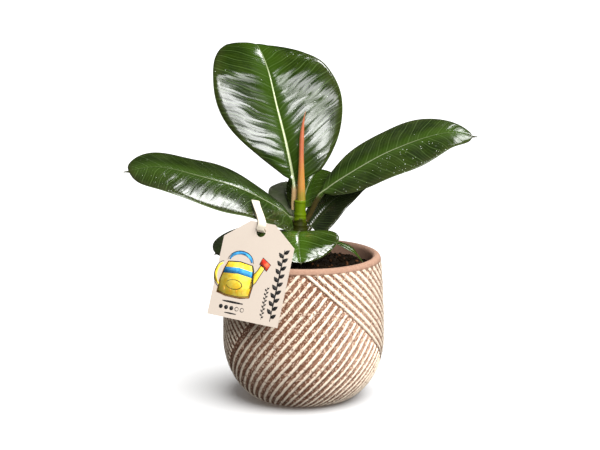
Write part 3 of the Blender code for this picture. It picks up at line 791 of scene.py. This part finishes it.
def leaf_rings(leaf, rows, across, vein_pitch):
    """The leaf's rings, and readings at each of their points."""
    line = midline(leaf)
    start = STALK_IN_STEM + leaf["petiole"]
    blade_length = travelled(line)[-1] - start
    stalk_rows = max(8, int(leaf["petiole"] / 0.8))
    distances = np.concatenate([np.linspace(0, start, stalk_rows, endpoint=False),
                                start + blade_length * (1 - np.cos(np.linspace(0, math.pi, rows))) / 2])
    centre, direction = along(line, distances)
    v = (distances[:, None] - start) / blade_length    # below 0 on the stalk, 1 at the tip
    blade = ease(v, 0.0, leaf.get("flare", 0.07))
    faces = np.broadcast_to(np.array(leaf["faces"], float), (2, 3))
    face = faces[0] + (faces[1] - faces[0]) * np.clip(v, 0, 1)
    up = unit(face - (face * direction).sum(1)[:, None] * direction)
    side = np.cross(direction, up)
    size = leaf["width"] / FULL_WIDTH

    t = np.linspace(-1, 1, across + 1)
    t = np.sign(t) * np.abs(t) ** 1.35    # across the blade, with more points at the midrib
    far = np.abs(t)

    def by_side(option):
        left, right = both(leaf.get(option, 0.0))
        return np.where(t > 0, right, left)

    stalk_radius = PETIOLE_RADIUS * 0.92
    tip_width = DRIP_TIP_WIDTH / 2 * np.clip((1 - v) / DRIP_TIP_SHARE, 0.2, 1)
    least = stalk_radius + (tip_width - stalk_radius) * np.clip(v * 3, 0, 1)
    skew = leaf.get("skew", 0.0)
    outlines = zip(*(both(leaf.get(option, usual)) for option, usual in USUAL_OUTLINE.items()))
    left, right = (np.maximum(half_width(v, *outline) * leaf["width"] / 2 * blade * grow, least)
                   for grow, outline in zip((1 - skew, 1 + skew), outlines))
    reach = np.where(t > 0, right, left) * far
    flatter = 1 - leaf.get("flat_tip", 0) * ease(v, 0.6, 0.9)
    angle = np.radians(by_side("fold") * flatter + by_side("curl") * far / 2) * blade
    run = np.repeat(v * blade_length, across + 1, 1)
    signed = np.sign(t) * reach

    seed = leaf["width"] * 0.37
    veins = (run - VEIN_SLANT * reach) / vein_pitch + 0.35 * cloud(signed / 16, run / 9, seed)
    pillow = np.abs(np.sin(math.pi * veins)) ** 0.8
    soft = ease(reach, 0.8, 5.0 * size) * (1 - ease(far, 0.7, 0.97))
    swell = SWELL * size * cloud(signed / 12, run / 15, seed + 5) * soft
    wave = leaf.get("wave", 0.25) * np.sin(2 * math.pi * (v * 2.3 + 0.3 * np.sign(t))) * far ** 2
    roll = ROLL * size * ease(far, 0.93, 1.0) ** 1.5
    groove = GROOVE * np.exp(-(reach / (0.4 + 0.7 * size)) ** 2)
    relief = (PILLOW * size * pillow * soft + swell + wave - roll - groove) * blade * ease(1 - v, 0.0, 0.06)
    round_part = stalk_radius * (1 - blade) * np.sqrt(1 - (0.98 * far) ** 2)
    thick = blade * (EDGE_THICKNESS + MORE_INSIDE * (1 - far)) * (0.6 + 0.4 * size) / 2
    rib = blade * RIB * np.clip(1 - v, 0.05, 1) ** 0.8 * np.exp(-(reach / (0.5 + 0.5 * size)) ** 2)

    out = signed * np.cos(angle)
    lift = reach * np.sin(angle) + relief
    back = by_side("lobe") * reach * (1 - ease(v, 0.0, 0.35)) * blade
    base = centre[:, None] + out[..., None] * side[:, None] - back[..., None] * direction[:, None]
    above = base + (lift + round_part + thick)[..., None] * up[:, None]
    below = base + (lift - round_part - thick - rib)[..., None] * up[:, None]

    def round_the_ring(values):
        return np.concatenate([values, values[:, ::-1]], 1)

    readings = {"out": signed, "run": run, "veins": veins, "edge": far * blade,
                "share": np.repeat(v, across + 1, 1)}
    return (np.concatenate([above, below[:, ::-1]], 1),
            {name: round_the_ring(values) for name, values in readings.items()})


# %% [markdown]
# The blade's upper side is dark and waxy, with a cream midrib and paler lines along the side veins. The
# finish reads the distances out from the midrib and along the blade from the mesh. Between the veins the
# wax is slightly uneven, which breaks a reflection into soft streaks, and hard water has left white specks.

# %% Leaf finishes
SPECK_SPACING = 1.9
SPECK = (0.62, 0.68, 0.58)
PAINTED_SHEEN = (0.13, 0.13, 0.1)     # painted sheen: grey reflected light laid into the leaf colour


def blade_finish(name, leaf):
    top = Finish(name + "_top", Specular_IOR_Level=leaf.get("gloss", 0.5))
    out, run, veins, share, edge = (top.reading(r) for r in ("out", "run", "veins", "share", "edge"))
    wide = top.calc("ABSOLUTE", out)
    size = leaf["width"] / FULL_WIDTH
    deep = leaf.get("deep", 1.0)

    main, fine = top.off_middle(veins), top.off_middle(top.times(veins, 3))
    rib_width = top.step(share, 0.0, 0.85, 0.43 * size + 0.18, 0.2)
    on_rib = top.step(top.calc("SUBTRACT", rib_width, wide), -0.2, 0.2)
    on_rib = top.times(on_rib, top.step(share, 0.45, 0.9, 0.9, 0.12))
    pale = leaf.get("rib", 0.45)
    cream = top.mix(top.noise(4, 3), toned((0.3, 0.4, 0.17), pale), toned((0.6, 0.62, 0.4), pale))
    stalk = top.mix(top.noise(3, 3), *leaf.get("stalk", ((0.014, 0.012, 0.002), (0.055, 0.04, 0.008))))
    # Painted sheen: a share of grey reflected light, laid into the colour in cloudy patches as the last
    # coat.
    painted_sheen = leaf.get("painted_sheen", 0.0)
    colour = top.layers(
        toned((0.008, 0.018, 0.0015), deep),
        (top.step(top.noise(13, 4), 0.35, 0.65), toned((0.02, 0.038, 0.003), deep)),
        (top.step(wide, 1.5 * size, 12 * size, 0.7, 0.0), toned((0.03, 0.066, 0.004), deep)),
        (top.step(edge, 0.72, 1.0, 0.0, 0.5), (0.03, 0.034, 0.01)),
        (top.times(top.step(main, 0.44, 0.5), 0.32 * min(1, 2 * deep)), toned((0.12, 0.19, 0.06), deep)),
        (top.times(top.step(fine, 0.3, 0.5), 0.12), (0.08, 0.14, 0.03)),
        (on_rib, cream),
        (top.step(run, -2.5, 2.0, 1.0, 0.0), stalk),
        (top.step(share, 0.92, 0.99, 0.0, 0.85), (0.016, 0.011, 0.004)),
        (top.step(edge, 0.98, 1.0, 0.0, 0.4), (0.12, 0.17, 0.06)),
        (top.step(top.noise(9, 3), 0.3, 0.7, 0.4 * painted_sheen, painted_sheen), PAINTED_SHEEN))

    flat = top.add("CombineXYZ", {"X": out, "Y": run}).outputs[0]
    cells = top.add("TexVoronoi", {"Vector": flat, "Scale": 1 / SPECK_SPACING},
                    voronoi_dimensions="2D")
    lot = top.add("SeparateColor", {"Color": cells.outputs["Color"]})
    likely = top.step(top.times(out, leaf.get("speck_side", 1) / leaf["width"]), -0.1, 0.3,
                      0.02, leaf.get("specks", 0.06))
    likely = top.times(likely, top.step(top.noise(11, 2), 0.44, 0.56, 0.15, 1.0))
    radius = top.calc("ADD", top.times(lot.outputs["Green"], 0.09), 0.04)
    spot = top.step(top.calc("SUBTRACT", radius, cells.outputs["Distance"]), 0.0, 0.03)
    spot = top.times(top.calc("GREATER_THAN", likely, lot.outputs["Red"]), spot)
    colour = top.mix(spot, colour, SPECK)

    along_veins = top.add("CombineXYZ", {"X": top.times(out, 0.06),
                                                   "Y": top.times(veins, 2.5)}).outputs[0]
    streak = top.noise(900, 5, at=along_veins)
    wax = top.step(streak, 0.3, 0.7, 0.14, 0.24)
    skin_bump = top.bump(top.noise(0.8, 4), 0.03, 0.5)
    fine_bump = top.bump(top.times(fine, 2.0), 0.035, 0.7, under=skin_bump)
    ridges_bump = top.bump(streak, 0.09, 0.6, under=fine_bump)
    return top.finish(Base_Color=colour, Roughness=wax, Normal=ridges_bump)


def underside_finish():
    under = Finish("leaf_underside", Specular_IOR_Level=0.4)
    wide = under.calc("ABSOLUTE", under.reading("out"))
    vein = under.step(under.off_middle(under.reading("veins")), 0.4, 0.5)
    colour = under.layers(
        under.mix(under.noise(10, 4), (0.11, 0.17, 0.05), (0.18, 0.25, 0.085)),
        (under.times(vein, 0.5), (0.26, 0.33, 0.13)),
        (under.step(wide, 0.9, 1.6, 1.0, 0.0), (0.2, 0.22, 0.08)),
        (under.step(under.reading("run"), -1.5, 4.0, 1.0, 0.0),
         under.mix(under.noise(3, 3), (0.014, 0.012, 0.002), (0.05, 0.036, 0.008))))
    net = under.bump(under.noise(0.8, 4), 0.08, 0.6)
    return under.finish(Base_Color=colour, Roughness=under.step(under.noise(5, 3), 0.3, 0.7, 0.42, 0.6),
                        Normal=under.bump(vein, 0.12, 0.7, under=net))


# %% Make the leaves
under_look = underside_finish()
for name, leaf in LEAVES.items():
    big = leaf["width"] > 40
    rings, readings = leaf_rings(leaf, 230 if big else 90, 44 if big else 24, 6.2 if big else 4.0)
    points, faces = skin(rings)
    count = rings.shape[1]
    which = [0 if i % count < count // 2 else 1 for i in range(len(faces))]
    make_piece(name + "_blade", points, faces, [blade_finish(name, leaf), under_look], "leaf", [name],
               which, readings)
    low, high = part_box(name)
    print("   CAD box, mm:", [round(x / MM, 1) for x in (*low, *high)],
          "made:", [round(x, 1) for x in (*points.min(0), *points.max(0))])

# %% [markdown]
# ## Care tag
# The card keeps its CAD shape. Its print is thin ink: a yellow watering can with a blue handle and a red
# rose, two black sprigs and five care dots. It is drawn on the card's own axes, with the hole at the origin,
# x to the right and z up.

# %% Card frame
TAG_HOLE_OFF_POT = -0.8
TAG_HOLE_DIRECTION = 239.4
TAG_HOLE_ABOVE_RIM = 19.7
TAG_ROLL = 5.5
TAG_LEAN = 19.0
TAG_YAW = 22.0
TAG_THICKNESS = 0.6
TAG_HOLE_RADIUS = 2.8
TAG_HOLE_BELOW_TOP = 5.0

hole_turn = math.radians(TAG_HOLE_DIRECTION)
hole_reach = POT_RADIUS + TAG_HOLE_OFF_POT
card = (Matrix.Translation((hole_reach * math.cos(hole_turn), hole_reach * math.sin(hole_turn),
                            POT_HEIGHT + TAG_HOLE_ABOVE_RIM))
        @ Matrix.Rotation(math.radians(-TAG_YAW), 4, "Z")
        @ Matrix.Rotation(math.radians(-TAG_LEAN), 4, "X")
        @ Matrix.Rotation(math.radians(TAG_ROLL), 4, "Y"))


def on_card(points):
    return np.array([card @ Vector(p) for p in points])


def paper_finish(name, colour, speckle):
    paper = Finish(name, Roughness=0.85, Specular_IOR_Level=0.25)
    fibres = paper.noise(0.7, 5)
    tint = paper.mix(paper.noise(12, 3), colour, toned(colour, 0.94))
    tint = paper.mix(paper.step(fibres, 0.6, 0.75, 0.0, 0.5), tint, speckle)
    return paper.finish(Base_Color=tint, Normal=paper.bump(fibres, 0.06, 0.5))


card_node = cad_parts["tag_card"]
card_node.data.materials.clear()
card_node.data.materials.append(paper_finish("card_stock", (0.53, 0.455, 0.385), (0.42, 0.345, 0.275)))
print("card:", card_node.name)


# %% Ink
INK_THICKNESS = 0.05
FACE = -TAG_THICKNESS / 2


class Print:
    """Collects thin flat shapes on the card's face, each with its own ink."""

    def __init__(self):
        self.bm = bmesh.new()
        self.inks = []

    def shape(self, outline, ink, layer=1):
        """A filled outline, as a thin closed slab."""
        if ink not in self.inks:
            self.inks.append(ink)
        near = FACE - INK_THICKNESS * layer
        front = [self.bm.verts.new((x, near, z)) for x, z in outline]
        back = [self.bm.verts.new((x, FACE + 0.02, z)) for x, z in outline]
        faces = [self.bm.faces.new(front), self.bm.faces.new(back[::-1])]
        for i in range(len(outline)):
            j = (i + 1) % len(outline)
            faces.append(self.bm.faces.new((front[i], back[i], back[j], front[j])))
        for face in faces:
            face.material_index = self.inks.index(ink)

    def stroke(self, line, width, ink, layer=2):
        """A line with pointed ends, as one thin slab."""
        line = np.array(line, float)
        ahead = np.gradient(line, axis=0)
        normal = unit(np.stack([-ahead[:, 1], ahead[:, 0]], -1))
        thin = width / 2 * (0.25 + 0.75 * np.sin(np.linspace(0.25, math.pi - 0.25, len(line))))[:, None]
        self.shape(np.concatenate([line + normal * thin, (line - normal * thin)[::-1]]), ink, layer)


def arc(centre, radius, start, end, steps=18, squash=1.0):
    """Points along part of an ellipse, in degrees."""
    angles = np.radians(np.linspace(start, end, steps))
    return [(centre[0] + radius * math.cos(a), centre[1] + radius * squash * math.sin(a)) for a in angles]


def ink_finish(name, colour, pale):
    ink = Finish(name, Roughness=0.7, Specular_IOR_Level=0.25)
    pool = ink.step(ink.noise(3.0, 4), 0.35, 0.65)
    return ink.finish(Base_Color=ink.mix(pool, colour, pale), Normal=ink.bump(ink.noise(0.7, 4), 0.05, 0.4))


YELLOW = ink_finish("ink_yellow", (0.85, 0.55, 0.03), (0.9, 0.72, 0.1))
ORANGE = ink_finish("ink_orange", (0.8, 0.26, 0.03), (0.88, 0.5, 0.12))
BLUE = ink_finish("ink_blue", (0.02, 0.17, 0.42), (0.06, 0.33, 0.62))
RED = ink_finish("ink_red", (0.6, 0.03, 0.015), (0.82, 0.13, 0.05))
BLACK = ink_finish("ink_black", (0.012, 0.012, 0.012), (0.03, 0.028, 0.026))

# %% Watering can
picture = Print()
CAN = (-7.8, -25.5)          # middle of the can's body


def place(points):
    return [(CAN[0] + x, CAN[1] + z) for x, z in points]


body = [(-9.5, -9.3), (-4.5, -10.5), (3.5, -10.6), (8.6, -9.4), (9.2, -3.0), (8.0, 4.5), (7.0, 7.0),
        (0.0, 7.9), (-6.8, 7.2), (-8.2, 3.5), (-9.4, -2.5)]
shadow = [(x * 1.07, z * 1.05 - 0.4) for x, z in body]
redrawn = [(x * 1.03 + 0.3, z * 1.03 - 0.3) for x, z in body]
spout = [(8.0, -5.5), (11.0, -1.5), (13.2, 4.0), (14.6, 7.4), (12.2, 8.4), (10.6, 5.0), (9.0, 2.6),
         (8.0, 0.8)]
rose = [(11.0, 8.6), (15.8, 5.6), (17.2, 9.2), (12.2, 12.2)]
band = [(-8.6, 0.6), (0.0, 1.4), (8.7, 0.4), (8.2, 3.6), (0.0, 4.6), (-8.2, 3.8)]
for outline, ink, layer in ((shadow, ORANGE, 1), (body, YELLOW, 2), (spout, YELLOW, 2), (rose, RED, 3),
                            (band, BLUE, 3)):
    picture.shape(place(outline), ink, layer)
for line, width, ink, layer in (
        (arc((0, 7.2), 6.6, 12, 168, squash=0.85), 2.0, BLUE, 2),
        (arc((-9.0, 0.0), 3.8, 100, 262, squash=1.5), 1.6, YELLOW, 2),
        (body + body[:1], 0.42, BLACK, 4),
        (redrawn + redrawn[:1], 0.42, BLACK, 4),
        (spout, 0.4, BLACK, 4),
        (rose + rose[:1], 0.4, BLACK, 4),
        (arc((0, 7.2), 7.6, 8, 172, squash=0.85), 0.36, BLACK, 4),
        (arc((-9.0, 0.0), 4.6, 96, 264, squash=1.5), 0.36, BLACK, 4),
        (arc((-1.0, -4.6), 4.6, 200, 520, 26, squash=0.55), 0.36, BLACK, 4)):
    picture.stroke(place(line), width, ink, layer)
for x in (-6.5, -2.9, 0.7, 4.3):
    picture.stroke(place([(x, -9.0), (x + 0.5, -7.6), (x - 0.1, -6.4)]), 0.34, ORANGE, 3)
print("inks:", *(ink.name for ink in picture.inks))

# %% Sprigs and care dots
def leaf_mark(foot, tip, width):
    """A solid pointed leaf between two places."""
    foot, tip = np.array(foot), np.array(tip)
    aside = unit(np.array([-(tip - foot)[1], (tip - foot)[0]])) * width / 2
    steps = np.linspace(0, 1, 9)
    outline = [foot + (tip - foot) * k + way * aside * math.sin(math.pi * k ** 0.8)
               for way, part in ((1, steps), (-1, steps[-2:0:-1])) for k in part]
    picture.shape(outline, BLACK, 2)


def sprig(x, top, bottom, leaf_length, leaf_width, pitch):
    """A stem down the card with leaves on both sides by turns."""
    picture.stroke([(x, top + (bottom - top) * k / 12) for k in range(13)], leaf_width * 0.4, BLACK, 1)
    z, side = top - pitch, 1
    while z > bottom + pitch / 2:
        leaf_mark((x + side * 0.2, z), (x + side * leaf_length * 0.85, z + leaf_length * 0.75), leaf_width)
        z, side = z - pitch, -side


sprig(15.6, -7.2, -45.5, 3.4, 2.0, 2.15)
sprig(10.4, -28.0, -45.5, 1.4, 0.8, 1.1)
for k in range(5):
    spot = (-13.6 + 3.1 * k, -42.6)
    if k < 3:
        picture.shape(arc(spot, 1.15, 0, 360, 15)[:-1], BLACK, 1)
    else:
        picture.stroke(arc(spot, 1.0, 0, 352, 20), 0.36, BLACK, 1)
picture.stroke([(-13.4 + 1.5 * k, -39.4) for k in range(9)], 1.1, BLACK, 1)
picture.stroke([(-11.0 + 1.4 * k, -45.4) for k in range(6)], 0.8, BLACK, 1)

ink_points = on_card([v.co for v in picture.bm.verts])
picture.bm.verts.index_update()
bmesh.ops.recalc_face_normals(picture.bm, faces=picture.bm.faces)
ink_faces = [tuple(v.index for v in f.verts) for f in picture.bm.faces]
ink_which = [f.material_index for f in picture.bm.faces]
make_piece("tag_print", ink_points, ink_faces, picture.inks, "tag_paper", which=ink_which)

# %% [markdown]
# A paper strip goes through the hole, up over the card's edge and back down behind it. It is stiff enough
# to stand as a narrow loop, and its top leans just over the edge of the left leaf.

# %% Strap
STRAP_ASIDE = -0.2
STRAP_THICKNESS = 0.3
STRAP_TOP = Vector((-25.8, -21.5, POT_HEIGHT + 33.4))
STRAP_SPREAD = 0.8
STRAP_OFF_CARD = 0.5         # its middle, from the card's face

top = np.array(card.inverted() @ STRAP_TOP)
away = unit(np.cross((1, 0, 0), top)) * STRAP_SPREAD
clear = TAG_THICKNESS / 2 + STRAP_OFF_CARD
route = [np.array(p, float) for p in (
    (STRAP_ASIDE, 0, 0), (STRAP_ASIDE, -2 * clear, TAG_HOLE_RADIUS / 2),
    (STRAP_ASIDE, -2 * clear, TAG_HOLE_BELOW_TOP + 0.6), 0.9 * top + away, top, 0.9 * top - away,
    (STRAP_ASIDE, 2.5 * clear, TAG_HOLE_RADIUS / 2), (STRAP_ASIDE, 0, 0))]
line = np.array([curve_point(route, k / 300) for k in range(300)])
at, direction = along(line, np.linspace(0, 1, 110, endpoint=False) * travelled(line)[-1])
half = np.array((TAG_HOLE_RADIUS - 0.35 - abs(STRAP_ASIDE), 0, 0))
outward = unit(np.cross(direction, half)) * STRAP_THICKNESS / 2
section = [(-1, -0.6), (-0.93, -1), (0, -1), (0.93, -1), (1, -0.6)]
section += [(-a, -b) for a, b in section]
strap_rings = [[p + a * half + b * o for a, b in section] for p, o in zip(at, outward)]
strap_points, strap_faces = skin(strap_rings, closed=True)
make_piece("paper_strap", on_card(strap_points), strap_faces,
           [paper_finish("strap_paper", (0.74, 0.66, 0.53), (0.8, 0.74, 0.62))], "tag_paper", ["tag_strap"])
